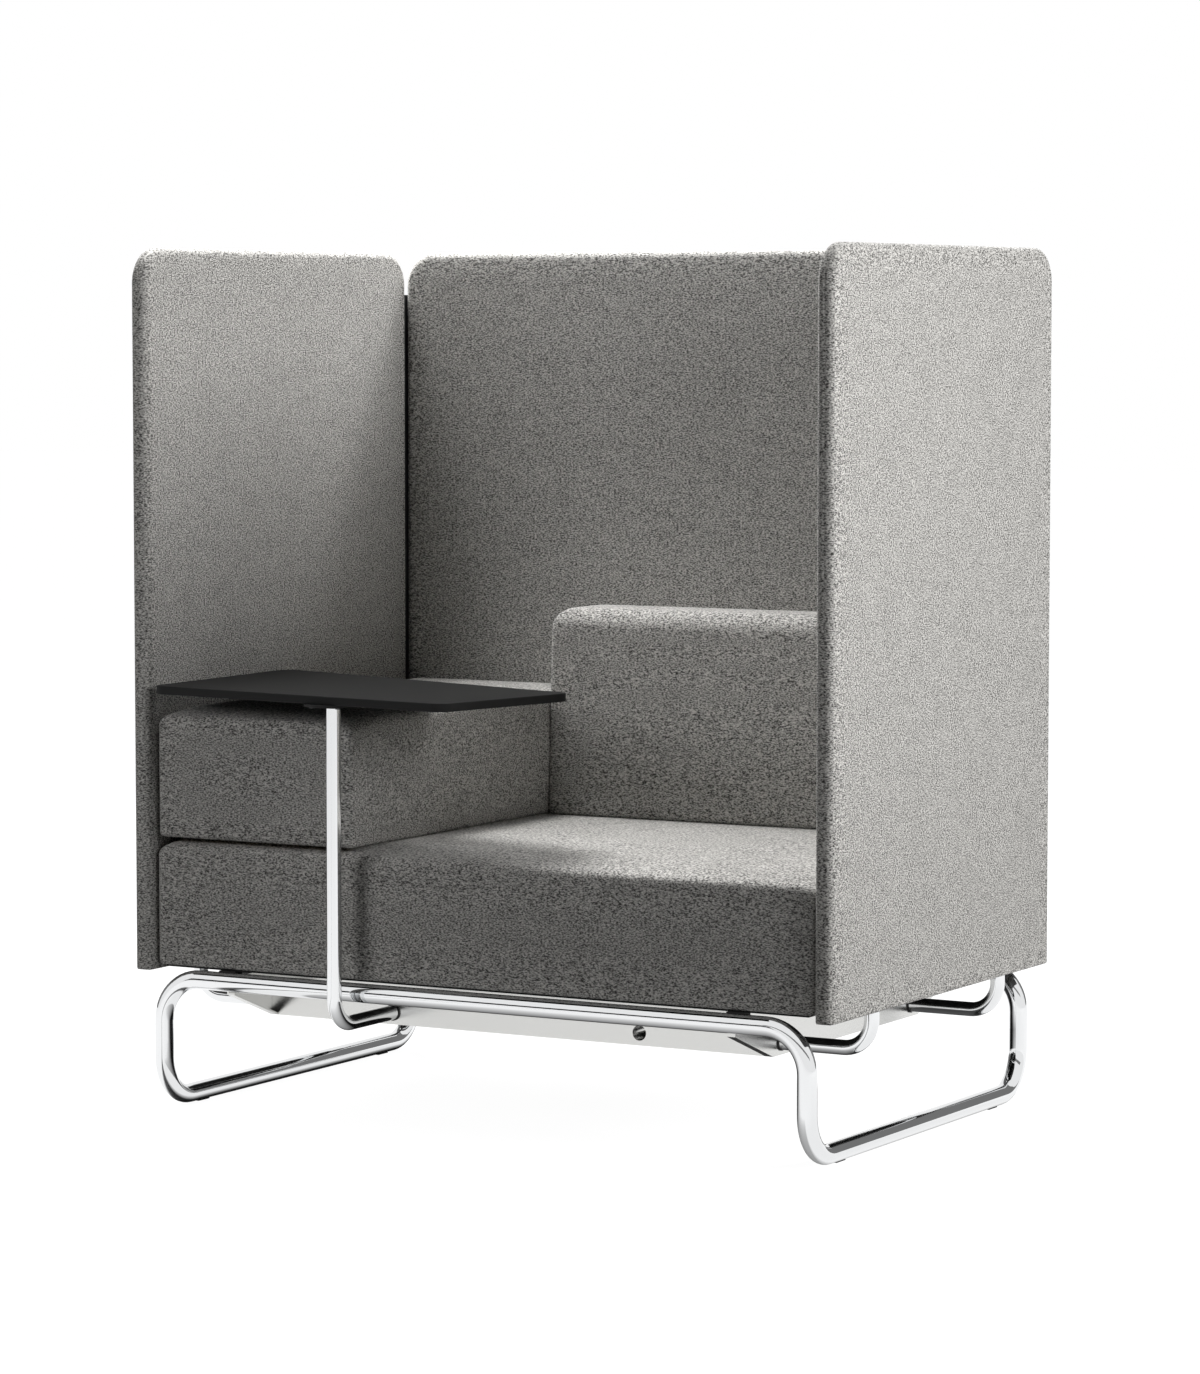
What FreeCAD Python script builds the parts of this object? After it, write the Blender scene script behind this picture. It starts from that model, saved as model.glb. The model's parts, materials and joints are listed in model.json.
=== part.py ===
import FreeCAD, Part
import Sketcher
import os
import re

# Screened lounge seat with a swivelling writing tablet.
# +Y is the back and +Z is up.  Left (-X) and right (+X) are as seen from the front.
# The origin is on the floor, under the middle of the whole.
# Positions in Y are counted from the middle of the tube frame, which stands mid_y behind the origin.

SIZES = {
    "mid_y": (30, "origin to the middle of the tube frame"),
    # Tube frame
    "tube_dia": (30, "frame tube, outside"),
    "tube_wall": (2, "frame tube, wall"),
    "bend_radius": (68, "frame bends, on the centre line"),
    "leg_x": (568, "middle to leg axis, across"),
    "leg_y": (373, "middle to leg axis, front to back"),
    "rail_z": (210, "floor to rail axis"),
    "sleeve_length": (50, "joint sleeve inside each leg"),
    "sleeve_clear": (0.1, "radial play of the joint sleeve"),
    "glide_proud": (1, "glide below the runner"),
    "glide_width": (9, "glide across the runner"),
    "glide_length": (30, "glide along the runner"),
    "glide_y": (270, "middle to glide"),
    # Sheet metal tray under the seat
    "sheet": (3, "tray sheet"),
    "cross_inset": (119, "leg axis in to the outer face of a cross member"),
    "beam_setback": (123, "rail axis to the outer face of a beam"),
    "lip_drop": (20, "rail axis down to the cross member's tip"),
    "flange_width": (14, "lower flange of a cross member"),
    "top_flange": (24, "upper flange of a cross member"),
    "saddle_clear": (0.2, "cross member to rail"),
    "beam_return": (13, "return flange along a beam"),
    "bolt_dia": (8, "seat bolt"),
    "bolt_head_dia": (14, "seat bolt head"),
    "bolt_head": (5, "seat bolt head height"),
    "bolt_bite": (6, "seat bolt in the board"),
    "bolt_y": (170, "middle to seat bolt"),
    "bolt_play": (0.2, "radial play of the seat bolt"),
    "washer_dia": (20, "distance washer"),
    "washer": (5, "distance washer height"),
    # Stems: the bent tubes that carry the screens and the tablet
    "stem_dia": (23, "stem tube, outside"),
    "stem_wall": (2, "stem tube, wall"),
    "stem_bend": (45, "stem bend, on the centre line"),
    "stem_drop": (47, "rail axis down to the stem axis"),
    "stem_play": (0.2, "radial play of a stem in its hole"),
    "stem_grip": (46, "stem held inside its block"),
    "block_size": (30, "stem block, square"),
    "block_length": (50, "stem block, along the stem"),
    "block_lift": (1, "stem block above the tray flange"),
    "bracket_setback": (8, "beam to stem block, side stems"),
    "back_stem_inset": (149, "outer face of a cross member in to a back stem"),
    "ring_dia": (26, "stem ring, outside"),
    "ring": (2, "stem ring, thickness"),
    "grub_dia": (8, "grub screw"),
    "grub_show": (2, "grub screw below its block"),
    # Screens
    "screen_clear": (1, "leg to the inner face of a side screen"),
    "screen_thick": (31, "screen, thickness"),
    "screen_gap": (3.5, "rear end of a side screen to the back screen"),
    "screen_lap": (6, "back screen behind a side screen"),
    "screen_lift": (11, "rail axis up to the foot of a screen"),
    "screen_height": (1135, "screen, height"),
    "screen_corner": (55, "screen, top corners"),
    "screen_edge": (10, "screen, soft edge"),
    "screen_hem": (3, "screen, lower edge"),
    "cover": (4, "padded cover over the screen core"),
    "fit_clear": (0.2, "core inside its cover"),
    "trim": (3, "closing strip under a screen"),
    "peg_dia": (18.6, "peg between stem and screen"),
    "peg_bite": (60, "peg inside the core"),
    "corner_radius": (16, "corner profile between two screens"),
    "corner_start": (20, "foot of the screens to the corner profile"),
    "corner_stop": (70, "corner profile to the top of the screens"),
    "corner_clear": (0.3, "corner profile to the screens"),
    # Cushions and their boards
    "seat_lift": (2, "top of the rail to the seat board"),
    "pad_length": (30, "rubber saddle along the rail"),
    "pad_depth": (20, "rubber saddle, from the rail axis inwards"),
    "pad_drop": (10, "rubber saddle, height"),
    "hem_lift": (2, "underside of the board to the cushion"),
    "board": (9, "plywood boards"),
    "board_inset": (14, "cushion edge to board edge"),
    "side_gap": (3, "seat cushion to a side screen"),
    "back_gap": (1, "seat cushion to the end of the side screens"),
    "seat_height": (202, "seat cushion"),
    "cushion_gap": (0.3, "between stacked cushions"),
    "arm_width": (362, "arm cushion, width"),
    "arm_height": (204, "arm cushion, height"),
    "arm_setback": (3, "seat front to arm front"),
    "board_play": (0.2, "board inside a cushion"),
    "back_height": (341, "back cushion, height"),
    "back_depth": (159, "back cushion, depth at the seat"),
    "back_lean": (12, "back cushion, lean of the front"),
    "cushion_edge": (22, "seat and arm cushion, top edges"),
    "cushion_corner": (10, "seat and arm cushion, upright edges"),
    "back_edge": (36, "back cushion, top edges"),
    "back_corner": (12, "back cushion, upright edges"),
    "hem_edge": (6, "lower cushion edges"),
    # Tablet
    "post_x": (220, "middle to tablet post"),
    "post_clear": (20.5, "front of the rail to the post"),
    "tablet_rise": (242, "seat to tablet surface"),
    "tablet": (13, "tablet, thickness"),
    "tablet_turn": (8.3, "tablet turned from square, degrees"),
    "tablet_front": (33, "post axis to the front edge"),
    "tablet_front_left": (345, "post axis to the left front corner"),
    "tablet_front_right": (242, "post axis to the right front corner"),
    "tablet_rear_left": (412, "post axis to the left rear corner, sideways"),
    "tablet_left_depth": (362, "post axis to the left rear corner, backwards"),
    "tablet_rear_right": (262, "post axis to the right rear corner, sideways"),
    "tablet_right_depth": (254, "post axis to the right rear corner, backwards"),
    "tablet_corner": (22, "tablet corners"),
    "tablet_edge": (1.5, "tablet, rounded edge"),
    "plate": (4, "mounting plate"),
    "plate_dia": (90, "mounting plate, diameter"),
    "spigot_dia": (16, "swivel spigot"),
    "spigot_length": (44, "swivel spigot below the plate"),
    "spigot_seat": (0.1, "radial play of the spigot in the plate"),
    "swivel_clear": (0.08, "radial running clearance of the swivel"),
    "bush_length": (48, "bush inside the post"),
    "bush_flange": (3, "bush flange"),
    "bush_clear": (0.05, "radial play of the bush in the post"),
    "lift_clear": (0.3, "bush flange to plate"),
    "screw_dia": (4, "tablet screw"),
    "screw_head_dia": (8, "tablet screw head"),
    "screw_head": (2.5, "tablet screw head height"),
    "screw_bite": (8, "tablet screw in the tablet"),
    "screw_play": (0.2, "radial play of a tablet screw"),
    "screw_circle": (66, "tablet screw circle"),
}

# Places that follow from the sizes
PLACES = {
    "tube_r": "tube_dia / 2",
    "runner_z": "tube_r + glide_proud",
    "leg_joint_z": "(rail_z + runner_z) / 2",
    "stem_r": "stem_dia / 2",
    "stem_z": "rail_z - stem_drop",
    "stem_hole": "stem_r + stem_play",
    "beam_y": "leg_y - beam_setback",
    "block_low": "stem_z - block_size / 2",
    "tray_floor": "block_low - block_lift - sheet",
    "cross_x": "leg_x - cross_inset",
    "back_stem_x": "cross_x - back_stem_inset",
    "tray_inner": "cross_x - sheet",
    "seat_under": "rail_z + tube_r + seat_lift",
    "tray_top": "seat_under - washer",
    "flange_mid": "tray_inner - (top_flange - sheet) / 2",
    "side_stem_y": "beam_y - sheet - bracket_setback - block_size / 2",
    "screen_in": "leg_x + tube_r + screen_clear",
    "screen_out": "screen_in + screen_thick",
    "screen_mid": "screen_in + screen_thick / 2",
    "side_end": "leg_y + tube_r",
    "back_in": "side_end + screen_gap",
    "back_mid": "back_in + screen_thick / 2",
    "back_half": "screen_in + screen_lap",
    "screen_low": "rail_z + screen_lift",
    "screen_top": "screen_low + screen_height",
    "core_low": "screen_low + trim",
    "seat_half": "screen_in - side_gap",
    "seat_rear": "side_end - back_gap",
    "seat_low": "seat_under + hem_lift",
    "seat_top": "seat_low + seat_height",
    "upper_low": "seat_top + cushion_gap",
    "arm_in": "arm_width - seat_half",
    "arm_front": "leg_y - arm_setback",
    "back_front": "seat_rear - back_depth",
    "post_y": "leg_y + tube_r + post_clear + stem_r",
    "tablet_top": "seat_top + tablet_rise",
    "tablet_low": "tablet_top - tablet",
    "plate_low": "tablet_low - plate",
    "post_top": "plate_low - lift_clear - bush_flange",
    "bush_r": "stem_r - stem_wall - bush_clear",
    "spigot_r": "spigot_dia / 2",
}

doc = FreeCAD.newDocument("ScreenedSeat")
sheet = doc.addObject("Spreadsheet::Sheet", "Sizes")
for row, (alias, (value, note)) in enumerate(SIZES.items(), start=1):
    sheet.set(f"A{row}", note)
    sheet.set(f"B{row}", str(value))
    sheet.setAlias(f"B{row}", alias)
doc.recompute()

nodes = []


def formula(text):
    """Write a size formula with every name as a cell of the sheet."""
    def cell(match):
        word = match.group()
        if word in PLACES:
            return "(" + formula(PLACES[word]) + ")"
        return "Sizes." + word if word in SIZES else word
    return re.sub(r"[a-z][a-z_]*", cell, text)


def bind(obj, **formulas):
    """Tie properties of an object to size formulas."""
    for name, text in formulas.items():
        obj.setExpression(name, formula(text))
    return obj


def put(obj, x="0", y="0", z="0", turn=None):
    """Set an object at a place whose Y value is counted from the middle of the frame."""
    obj.Placement = FreeCAD.Placement(FreeCAD.Vector(), turn or FreeCAD.Rotation())
    obj.setExpression("Placement.Base.x", formula(x))
    obj.setExpression("Placement.Base.y", formula(f"mid_y + {y}"))
    obj.setExpression("Placement.Base.z", formula(z))
    return obj


def node(label, obj):
    """Keep an object as a finished sub-part."""
    obj.Label = label
    nodes.append(obj)
    return obj


def box(x0, x1, y0, y1, z0, z1, name="Block"):
    """A block between two corners."""
    block = doc.addObject("Part::Box", name)
    bind(block, Length=f"({x1}) - ({x0})", Width=f"({y1}) - ({y0})", Height=f"({z1}) - ({z0})")
    return put(block, x0, y0, z0)


AXES = {
    "x": FreeCAD.Vector(1, 0, 0),
    "y": FreeCAD.Vector(0, 1, 0),
    "z": FreeCAD.Vector(0, 0, 1),
}
Z_AXIS = AXES["z"]

# Spacing of an outline's corners before their formulas place them
SKETCH_STEP = 10


def rod(way, start, length, radius, name="Rod"):
    """A round bar from a start point along +x, -x, +y and so on."""
    bar = doc.addObject("Part::Cylinder", name)
    bind(bar, Radius=radius, Height=length)
    along = AXES[way[1]] * (-1 if way[0] == "-" else 1)
    return put(bar, *start, turn=FreeCAD.Rotation(Z_AXIS, along))


def elbow(corner, way_in, way_out, bend, radius):
    """A quarter bend that rounds off one corner of a tube's route."""
    vector_in = AXES[way_in[1]] * (-1 if way_in[0] == "-" else 1)
    vector_out = AXES[way_out[1]] * (-1 if way_out[0] == "-" else 1)
    centre = dict(zip("xyz", corner))
    centre[way_in[1]] += f" - {way_in[0]}1 * ({bend})"
    centre[way_out[1]] += f" + {way_out[0]}1 * ({bend})"
    bow = doc.addObject("Part::Torus", "Bend")
    bow.Angle3 = 90
    bind(bow, Radius1=bend, Radius2=radius)
    first = vector_out * -1
    turn = FreeCAD.Rotation(first, vector_in, first.cross(vector_in), "XYZ")
    return put(bow, *(centre[axis] for axis in "xyz"), turn=turn)


def joined(pieces, name="Joined"):
    """One solid from pieces that meet."""
    if len(pieces) == 1:
        return pieces[0]
    fused = doc.addObject("Part::MultiFuse", name)
    fused.Shapes = pieces
    return fused


def grouped(pieces, name="Group"):
    """Separate like pieces that share one node."""
    group = doc.addObject("Part::Compound", name)
    group.Links = pieces
    return group


def cut(base, tools, name="Cut"):
    """A piece less its holes and recesses."""
    result = doc.addObject("Part::Cut", name)
    result.Base = base
    result.Tool = joined(tools, "Tools") if len(tools) > 1 else tools[0]
    return result


def route(start, moves, radius, bend):
    """Straight runs and quarter bends along a route of square corners."""
    pieces = []
    place = dict(zip("xyz", start))
    for index, (way, length) in enumerate(moves):
        trim_in = bend if index else "0"
        trim_out = bend if index < len(moves) - 1 else "0"
        begin = dict(place)
        begin[way[1]] += f" + {way[0]}1 * ({trim_in})"
        run = f"({length}) - ({trim_in}) - ({trim_out})"
        pieces.append(rod(way, [begin[axis] for axis in "xyz"], run, radius, "Run"))
        place[way[1]] += f" + {way[0]}1 * ({length})"
        if index < len(moves) - 1:
            corner = [place[axis] for axis in "xyz"]
            pieces.append(elbow(corner, way, moves[index + 1][0], bend, radius))
    return pieces


def bent_tube(start, moves, radius, wall, bend):
    """A bent tube with its bore."""
    outsides = route(start, moves, radius, bend)
    bores = route(start, moves, f"{radius} - {wall}", bend)
    lengths = [cut(outside, [bore], "Length") for outside, bore in zip(outsides, bores)]
    return joined(lengths, "Tube")


def slab(plane, points, low, depth, name="Slab"):
    """A flat-sided body: an outline on a main plane, padded from a low face by a depth."""
    body = doc.addObject("PartDesign::Body", name)
    add_slab(body, plane, points, low, depth)
    return body


def add_slab(body, plane, points, low, depth):
    """Pad one more outline onto a body."""
    sketch = body.newObject("Sketcher::SketchObject", "Outline")
    role = f"{plane}_Plane"
    support = [feature for feature in body.Origin.OriginFeatures if feature.Role == role][0]
    sketch.AttachmentSupport = [(support, "")]
    sketch.MapMode = "FlatFace"
    # The XZ plane faces -Y, so its outline is set out backwards.
    low_place = f"-1 * (mid_y + {low})" if plane == "XZ" else low
    sketch.setExpression("AttachmentOffset.Base.z", formula(low_place))
    draw_outline(sketch, [shifted(point, plane) for point in points])
    pad = body.newObject("PartDesign::Pad", "Pad")
    pad.Profile = sketch
    pad.Reversed = plane == "XZ"
    bind(pad, Length=depth)
    sketch.Visibility = False
    doc.recompute()


def shifted(point, plane):
    """Count the Y value of an outline point from the middle of the frame."""
    first, second = point
    if plane == "YZ":
        return f"mid_y + {first}", second
    if plane == "XY":
        return first, f"mid_y + {second}"
    return point


def draw_outline(sketch, points):
    """Draw a closed outline whose corners are held by size formulas."""
    count = len(points)
    start = [FreeCAD.Vector(index * index, index, 0) * SKETCH_STEP for index in range(count)]
    for index in range(count):
        sketch.addGeometry(Part.LineSegment(start[index], start[(index + 1) % count]), False)
    for index in range(count):
        sketch.addConstraint(Sketcher.Constraint("Coincident", index, 2, (index + 1) % count, 1))
    for index, point in enumerate(points):
        for kind, text in zip(("DistanceX", "DistanceY"), point):
            held = sketch.addConstraint(Sketcher.Constraint(kind, -1, 1, index, 1, 1.0))
            sketch.setExpression(f"Constraints[{held}]", formula(text))


def rectangle(u0, u1, v0, v1):
    """The four corners of a rectangle, anticlockwise."""
    return [(u0, v0), (u1, v0), (u1, v1), (u0, v1)]


def rounded(body, radius, choose):
    """Round the chosen edges of a body."""
    base = body.Tip
    whole = base.Shape.BoundBox
    chosen = [f"Edge{index}" for index, edge in enumerate(base.Shape.Edges, start=1)
              if choose(edge.BoundBox, whole)]
    fillet = body.newObject("PartDesign::Fillet", "Rounding")
    fillet.Base = (base, chosen)
    bind(fillet, Radius=radius)
    doc.recompute()


TOUCH = 0.01


def upright(edge, whole):
    """An edge that rises from the bottom face and isn't a bend."""
    return edge.ZMin < whole.ZMin + TOUCH and edge.ZLength > whole.ZLength / 2


def on_top(edge, whole):
    """An edge of the top face."""
    return edge.ZMin > whole.ZMax - TOUCH


def on_bottom(edge, whole):
    """An edge of the bottom face."""
    return edge.ZMax < whole.ZMin + TOUCH


def above_bottom(edge, whole):
    """Any edge but those of the bottom face."""
    return not on_bottom(edge, whole)


def make_frame():
    """The closed loop of tube: two bows, two runners, and the sleeves and glides."""
    rise = "rail_z - leg_joint_z"
    for label, side in (("front_bow", "-1"), ("rear_bow", "1")):
        moves = [("+z", rise), ("+x", "2 * leg_x"), ("-z", rise)]
        start = ("-leg_x", f"{side} * leg_y", "leg_joint_z")
        node(label, bent_tube(start, moves, "tube_r", "tube_wall", "bend_radius"))
    drop = "leg_joint_z - runner_z"
    for label, side in (("left_runner", "-1"), ("right_runner", "1")):
        moves = [("-z", drop), ("+y", "2 * leg_y"), ("+z", drop)]
        start = (f"{side} * leg_x", "-leg_y", "leg_joint_z")
        node(label, bent_tube(start, moves, "tube_r", "tube_wall", "bend_radius"))
    sleeves = []
    glides = []
    for side_x in ("-1", "1"):
        for side_y in ("-1", "1"):
            foot = (f"{side_x} * leg_x", f"{side_y} * leg_y", "leg_joint_z - sleeve_length / 2")
            sleeves.append(rod("+z", foot, "sleeve_length", "tube_r - tube_wall - sleeve_clear"))
            glides.append(make_glide(side_x, side_y))
    node("leg_sleeves", grouped(sleeves))
    node("runner_glides", grouped(glides))


def make_glide(side_x, side_y):
    """A flat-bottomed saddle under one end of a runner."""
    x, y = f"{side_x} * leg_x", f"{side_y} * glide_y"
    half_w, half_l = "glide_width / 2", "glide_length / 2"
    lip = "runner_z - sqrt(tube_r ^ 2 - (glide_width / 2) ^ 2)"
    blank = box(f"{x} - {half_w}", f"{x} + {half_w}", f"{y} - {half_l}", f"{y} + {half_l}", "0", lip)
    groove = rod("+y", (x, f"{y} - glide_length", "runner_z"), "2 * glide_length", "tube_r")
    return cut(blank, [groove], "Glide")


def rail_saddles():
    """The two rails, a little larger, for what is cut to fit them."""
    radius = "tube_r + saddle_clear"
    return [rod("+x", ("-leg_x", f"{side} * leg_y", "rail_z"), "2 * leg_x", radius)
            for side in ("-1", "1")]


def make_tray():
    """Two flanged cross members between the rails, and two beams between those."""
    for label, side in (("left_cross_member", "-1"), ("right_cross_member", "1")):
        node(label, make_cross_member(side))
    for label, side in (("front_beam", "-1"), ("rear_beam", "1")):
        node(label, make_beam(side))


def make_cross_member(side):
    """A web that tapers up to both rails, with flanges along its lower and upper edges."""
    def low_face(width):
        return "-cross_x" if side == "-1" else f"cross_x - {width}"
    lower = [("-leg_y", "rail_z - lip_drop"), ("-beam_y", "tray_floor"),
             ("beam_y", "tray_floor"), ("leg_y", "rail_z - lip_drop")]
    upper = [("leg_y", "tray_top"), ("-leg_y", "tray_top")]
    inner = [(y, f"{z} + sheet") for y, z in reversed(lower)]
    body = slab("YZ", lower + upper, low_face("sheet"), "sheet", "CrossMember")
    add_slab(body, "YZ", lower + inner, low_face("flange_width"), "flange_width")
    top_reach = "leg_y - tube_r - sheet"
    strip = rectangle(f"-({top_reach})", top_reach, "tray_top - sheet", "tray_top")
    add_slab(body, "YZ", strip, low_face("top_flange"), "top_flange")
    holes = rail_saddles()
    for side_y in ("-1", "1"):
        mouth = (f"{side} * cross_x - top_flange", f"{side_y} * side_stem_y", "stem_z")
        holes.append(rod("+x", mouth, "2 * top_flange", "stem_hole"))
        bolt = (f"{side} * flange_mid", f"{side_y} * bolt_y", "tray_top - 2 * sheet")
        holes.append(rod("+z", bolt, "3 * sheet", "bolt_dia / 2 + bolt_play"))
    return cut(body, holes)


def make_beam(side):
    """An upright sheet with a return along its foot, notched for the cross member flanges."""
    end = "tray_inner - saddle_clear"
    notch = "cross_x - flange_width - saddle_clear"
    step = "tray_floor + sheet + saddle_clear"
    ceiling = "tray_top - sheet - saddle_clear"
    outline = [(f"-({notch})", "tray_floor"), (notch, "tray_floor"), (notch, step), (end, step),
               (end, ceiling), (f"-({end})", ceiling), (f"-({end})", step), (f"-({notch})", step)]
    face = "-beam_y" if side == "-1" else "beam_y - sheet"
    foot = "-beam_y" if side == "-1" else "beam_y - beam_return"
    body = slab("XZ", outline, face, "sheet", "Beam")
    lip = rectangle(f"-({notch})", notch, "tray_floor", "tray_floor + sheet")
    add_slab(body, "XZ", lip, foot, "beam_return")
    place = "post_x" if side == "-1" else "back_stem_x"
    mouth = f"{side} * beam_y - 2 * sheet"
    holes = [rod("+y", (f"{hand} * {place}", mouth, "stem_z"), "4 * sheet", "stem_hole")
             for hand in ("-1", "1")]
    return cut(body, holes)


def stem_block(way, place):
    """A welded block behind a sheet face that grips a stem, with its grub screw hole below."""
    axis, sign = way[1], f"{way[0]}1"
    x, y = place
    half = "block_size / 2"
    far = f"{sign} * block_length"
    if axis == "x":
        low, high = (x, f"{x} + {far}") if way[0] == "+" else (f"{x} + {far}", x)
        blank = box(low, high, f"{y} - {half}", f"{y} + {half}", "block_low", "block_low + block_size")
        grub = (f"{x} + {far} / 2", y)
    else:
        low, high = (y, f"{y} + {far}") if way[0] == "+" else (f"{y} + {far}", y)
        blank = box(f"{x} - {half}", f"{x} + {half}", low, high, "block_low", "block_low + block_size")
        grub = (x, f"{y} + {far} / 2")
    bore = rod(way, (x, y, "stem_z"), "block_length", "stem_hole")
    thread = rod("+z", (*grub, "block_low"), "block_size / 2", "grub_dia / 2")
    screw = rod("+z", (*grub, "block_low - grub_show"), "stem_z - stem_r - block_low + grub_show",
                "grub_dia / 2 - stem_play", "GrubScrew")
    return cut(blank, [bore, thread], "StemBlock"), screw


def stem_ring(way, place):
    """A thin ring round a stem where it leaves a sheet face."""
    start = (*place, "stem_z")
    outside = rod(way, start, "ring", "ring_dia / 2")
    bore = rod(way, start, "ring", "stem_hole")
    return cut(outside, [bore], "Ring")


def make_screen_stems():
    """Six bent stems from the tray to the feet of the screens, with blocks, rings and pegs."""
    blocks, rings, grubs, pegs = [], [], [], []
    up = "screen_low - stem_z"
    stems = []
    for hand, side in (("left", "-1"), ("right", "1")):
        out, back = ("-x", "+x") if side == "-1" else ("+x", "-x")
        for end, side_y in (("front", "-1"), ("rear", "1")):
            y = f"{side_y} * side_stem_y"
            face = f"{side} * tray_inner"
            start = (f"{face} - {side} * stem_grip", y, "stem_z")
            reach = "screen_mid - tray_inner + stem_grip"
            stems.append((f"{hand}_{end}_stem", start, out, reach))
            block, grub = stem_block(back, (face, y))
            blocks.append(block)
            grubs.append(grub)
            rings.append(stem_ring(out, (f"{side} * cross_x", y)))
            pegs.append((f"{side} * screen_mid", y))
    for hand, side in (("left", "-1"), ("right", "1")):
        x = f"{side} * back_stem_x"
        face = "beam_y - sheet"
        start = (x, f"{face} - stem_grip", "stem_z")
        stems.append((f"back_{hand}_stem", start, "+y", f"back_mid - ({face}) + stem_grip"))
        block, grub = stem_block("-y", (x, face))
        blocks.append(block)
        grubs.append(grub)
        rings.append(stem_ring("+y", (x, "beam_y")))
        pegs.append((x, "back_mid"))
    for label, start, out, reach in stems:
        moves = [(out, reach), ("+z", up)]
        node(label, bent_tube(start, moves, "stem_r", "stem_wall", "stem_bend"))
    node("screen_blocks", grouped(blocks))
    node("screen_rings", grouped(rings))
    node("screen_grub_screws", grouped(grubs))
    foot = "stem_z + stem_bend"
    length = "core_low + peg_bite - stem_z - stem_bend"
    node("screen_pegs", grouped([rod("+z", (*place, foot), length, "peg_dia / 2") for place in pegs]))


def make_screens():
    """Three screens, each a core in a padded cover, closed by a strip at its foot."""
    side_span = ("-(side_end)", "side_end")
    side_pegs = [("screen_mid", "-side_stem_y"), ("screen_mid", "side_stem_y")]
    back_pegs = [("-back_stem_x", "back_mid"), ("back_stem_x", "back_mid")]
    make_screen("left_screen", "YZ", side_span, "-screen_out", [(f"-{x}", y) for x, y in side_pegs])
    make_screen("right_screen", "YZ", side_span, "screen_in", side_pegs)
    make_screen("back_screen", "XZ", ("-(back_half)", "back_half"), "back_in", back_pegs)


def make_screen(name, plane, span, low, pegs):
    """One screen: span along the floor, low face across it, and where its pegs enter."""
    first, last = span
    outline = rectangle(first, last, "screen_low", "screen_top")
    cover = slab(plane, outline, low, "screen_thick", "Cover")
    across = "XLength" if plane == "YZ" else "YLength"

    def top_corner(edge, whole):
        return edge.ZMin > whole.ZMax - TOUCH and getattr(edge, across) > TOUCH and is_short(edge)

    def is_short(edge):
        return max(edge.XLength, edge.YLength) - getattr(edge, across) < TOUCH

    rounded(cover, "screen_corner", top_corner)
    rounded(cover, "screen_edge", lambda edge, whole: above_bottom(edge, whole)
            and getattr(edge, across) < TOUCH)
    rounded(cover, "screen_hem", on_bottom)
    core = inset_core(plane, span, low, "core_low", "cover", top_corner)
    pocket = inset_core(plane, span, low, "screen_low - trim", "cover - fit_clear", top_corner)
    node(f"{name}_cover", cut(cover, [pocket]))
    bite = "core_low + peg_bite"
    bores = [rod("+z", (*place, "screen_low - trim"), f"{bite} - screen_low + trim",
                 "peg_dia / 2 + stem_play") for place in pegs]
    node(f"{name}_core", cut(core, bores))
    inner_low, inner_high = f"{low} + cover", f"{low} + screen_thick - cover"
    inner_first, inner_last = f"{first} + cover", f"{last} - cover"
    if plane == "YZ":
        strip = box(inner_low, inner_high, inner_first, inner_last, "screen_low", "core_low")
    else:
        strip = box(inner_first, inner_last, inner_low, inner_high, "screen_low", "core_low")
    holes = [rod("+z", (*place, "screen_low - trim"), "3 * trim", "peg_dia / 2 + stem_play")
             for place in pegs]
    node(f"{name}_strip", cut(strip, holes))


def inset_core(plane, span, low, foot, inset, top_corner):
    """The board inside a cover, set in by an inset all round but at its foot."""
    first, last = span
    outline = rectangle(f"{first} + {inset}", f"{last} - ({inset})", foot, f"screen_top - ({inset})")
    core = slab(plane, outline, f"{low} + {inset}", f"screen_thick - 2 * ({inset})", "Core")
    rounded(core, f"screen_corner - ({inset})", top_corner)
    return core


def make_corner_profiles():
    """A quarter-round profile that joins each side screen to the back screen."""
    for label, side in (("left_corner_profile", "-1"), ("right_corner_profile", "1")):
        profile = doc.addObject("Part::Cylinder", "CornerProfile")
        profile.Angle = 90
        bind(profile, Radius="corner_radius",
             Height="screen_height - corner_start - corner_stop")
        turn = FreeCAD.Rotation(Z_AXIS, 0 if side == "1" else 90)
        put(profile, f"{side} * (back_half + corner_clear)", "side_end + corner_clear",
            "screen_low + corner_start", turn)
        node(label, profile)


def make_seat():
    """Seat board on rubber saddles, bolted to the cross members, with its cushion over it."""
    inset = "board_inset"
    board_box = (f"-(seat_half) + {inset}", f"seat_half - {inset}",
                 "-leg_y + hem_edge", f"seat_rear - {inset}")
    blank = box(*board_box, "seat_under", "seat_under + board")
    bolts, washers, bolt_holes, saddles = [], [], [], []
    for side_x in ("-1", "1"):
        for side_y in ("-1", "1"):
            place = (f"{side_x} * flange_mid", f"{side_y} * bolt_y")
            bolts.append(seat_bolt(place))
            washers.append(distance_washer(place))
            bolt_holes.append(rod("+z", (*place, "seat_under"), "bolt_bite", "bolt_dia / 2 + bolt_play"))
            saddles.append(rail_pad(side_x, side_y))
    node("seat_board", cut(blank, bolt_holes))
    node("seat_bolts", grouped(bolts))
    node("seat_washers", grouped(washers))
    node("rail_pads", grouped(saddles))
    plan = rectangle("-(seat_half)", "seat_half", "-leg_y", "seat_rear")
    cushion = soft_block(plan, "seat_low", "seat_height")
    recess = box(*grown(board_box), "seat_low - board", "seat_under + board")
    node("seat_cushion", cut(cushion, [recess]))


def grown(corners):
    """A board's plan, a little larger, for the recess that takes it."""
    x0, x1, y0, y1 = corners
    play = "board_play"
    return f"{x0} - {play}", f"{x1} + {play}", f"{y0} - {play}", f"{y1} + {play}"


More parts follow.
